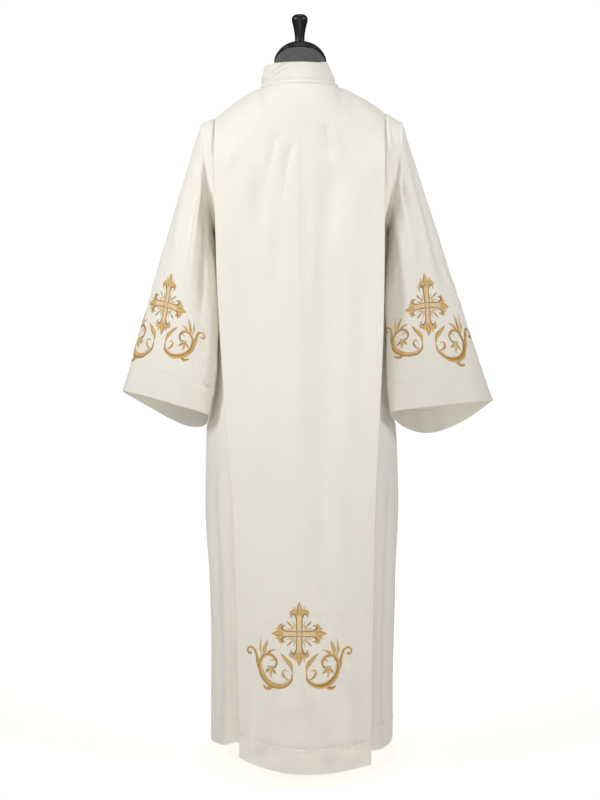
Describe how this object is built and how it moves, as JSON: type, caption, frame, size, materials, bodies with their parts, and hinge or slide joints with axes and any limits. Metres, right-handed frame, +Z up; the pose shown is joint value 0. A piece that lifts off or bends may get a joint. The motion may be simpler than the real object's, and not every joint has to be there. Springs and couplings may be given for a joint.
{
  "type": "alb on a limbless dress form",
  "caption": "Long ivory alb with stand collar, bell sleeves and inverted pleats, gold embroidery at hem and sleeves, worn by a limbless dress form on a stand.",
  "frame": {"origin": "centre of the underside of the stand's round base, on the floor", "axes": "+Z up; the wearer faces +Y, so the back of the alb faces -Y; +X is the wearer's right"},
  "size_m": [0.8177, 0.4297, 1.624],
  "materials": {
    "alb_cloth": "matte",
    "gold_thread": "satin",
    "form_fabric": "matte",
    "form_gloss": "gloss",
    "stand_metal": "satin"
  },
  "bodies": {
    "root": {"back_centre": "alb_cloth", "back_left": "alb_cloth", "back_right": "alb_cloth", "front_centre": "alb_cloth", "front_left": "alb_cloth", "front_right": "alb_cloth", "front_placket": "alb_cloth", "collar": "alb_cloth", "sleeve_left": "alb_cloth", "sleeve_right": "alb_cloth", "form_torso": "form_fabric", "form_cap": "form_gloss", "form_finial": "form_gloss", "form_pole": "stand_metal", "form_base": "stand_metal"}
  },
  "joints": []
}
